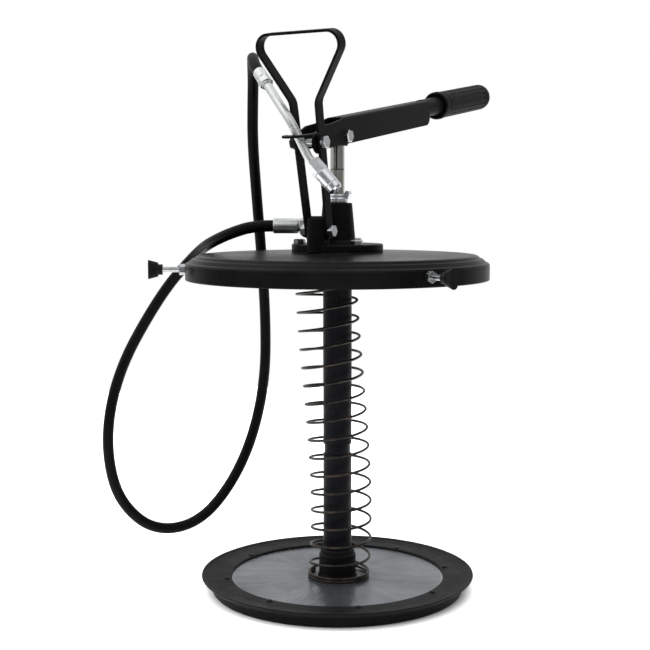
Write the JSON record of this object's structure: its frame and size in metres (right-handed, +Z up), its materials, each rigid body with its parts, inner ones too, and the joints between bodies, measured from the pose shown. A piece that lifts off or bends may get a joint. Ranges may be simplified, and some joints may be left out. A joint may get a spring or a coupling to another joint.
{
  "type": "hand lever bucket pump",
  "caption": "Hand lever bucket pump with drum lid, spring loaded follower plate, suction tube, carrying handle, delivery hose and grease nozzle.",
  "frame": {"origin": "on the suction tube's axis at floor level, under the foot valve", "axes": "+Z up along the suction tube, +X towards the lever's grip, the handle spans Y"},
  "size_m": [0.5706, 0.479, 0.6302],
  "materials": {
    "black_paint": "satin gloss",
    "zinc_fasteners": "zinc plated",
    "zinc_fittings": "zinc plated, smooth",
    "bright_rod": "polished",
    "dark_tube": "dark phosphated, oily",
    "spring_steel": "dark bronze",
    "galvanised_sheet": "galvanised, dull",
    "black_rubber": "matt",
    "black_plastic": "matt"
  },
  "bodies": {
    "root": {"drum_lid": "black_paint", "lid_backing_plate": "black_paint", "pump_head": "black_paint", "carry_handle": "black_paint", "nozzle_holder": "black_paint", "flange_bolts": "zinc_fasteners", "base_bolt": "zinc_fasteners", "base_nut": "zinc_fasteners", "pivot_bolt": "zinc_fasteners", "pivot_nut": "zinc_fasteners", "clamp_nuts": "zinc_fasteners", "gland_nut": "zinc_fittings", "outlet_nut": "zinc_fittings", "outlet_ferrule": "zinc_fittings", "nozzle_ferrule": "zinc_fittings", "nozzle_hex": "zinc_fittings", "nozzle_tube": "zinc_fittings", "coupler_body": "zinc_fittings", "coupler_sleeve": "zinc_fittings", "coupler_jaws": "bright_rod", "upper_tube": "dark_tube", "lower_tube": "dark_tube", "foot_valve_body": "dark_tube", "follower_spring": "spring_steel", "delivery_hose": "black_rubber", "flange_gasket": "black_rubber", "gland_packing": "black_rubber"},
    "lever": {"lever_channel": "black_paint", "lever_tube": "black_paint", "lever_grip": "black_rubber", "rod_pin_bolt": "zinc_fasteners", "rod_pin_nut": "zinc_fasteners"},
    "rod": {"piston_rod": "bright_rod", "rod_eye": "dark_tube", "piston": "bright_rod", "piston_seal": "black_rubber"},
    "follower": {"follower_disc": "galvanised_sheet", "follower_ring": "black_rubber", "follower_screws": "dark_tube", "follower_nuts": "zinc_fasteners", "follower_hub": "dark_tube", "hub_seal": "black_rubber"},
    "foot_check": {"foot_ball": "bright_rod"},
    "clamp_1": {"clamp_screw_1": "zinc_fasteners", "clamp_knob_1": "black_plastic"},
    "clamp_2": {"clamp_screw_2": "zinc_fasteners", "clamp_knob_2": "black_plastic"},
    "clamp_3": {"clamp_screw_3": "zinc_fasteners", "clamp_knob_3": "black_plastic"}
  },
  "joints": [
    {"name": "lever_hinge", "type": "hinge", "parent": "root", "child": "lever", "pos_m": [-0.05983, 0, 0.51206], "axis": [0, -1, 0], "range_deg": [-30, 25]},
    {"name": "rod_slide", "type": "slide", "parent": "root", "child": "rod", "axis": [0, 0, 1], "range_m": [-0.0303, 0.0253]},
    {"name": "follower_slide", "type": "slide", "parent": "root", "child": "follower", "axis": [0, 0, 1], "range_m": [0, 0.28], "stiffness_N_per_m": 120, "springref_m": -0.05, "deforming": ["follower_spring"]},
    {"name": "foot_ball_lift", "type": "slide", "parent": "root", "child": "foot_check", "axis": [0, 0, 1], "range_m": [0, 0.004]},
    {"name": "clamp_slide_1", "type": "slide", "parent": "root", "child": "clamp_1", "axis": [0.9986, 0.0523, 0], "range_m": [-0.012, 0.006]},
    {"name": "clamp_slide_2", "type": "slide", "parent": "root", "child": "clamp_2", "axis": [-0.5446, 0.8387, 0], "range_m": [-0.012, 0.006]},
    {"name": "clamp_slide_3", "type": "slide", "parent": "root", "child": "clamp_3", "axis": [-0.454, -0.891, 0], "range_m": [-0.012, 0.006]}
  ],
  "couplings": [
    {"joint": "rod_slide", "follows": "lever_hinge", "m_per_rad": 0.0576}
  ]
}
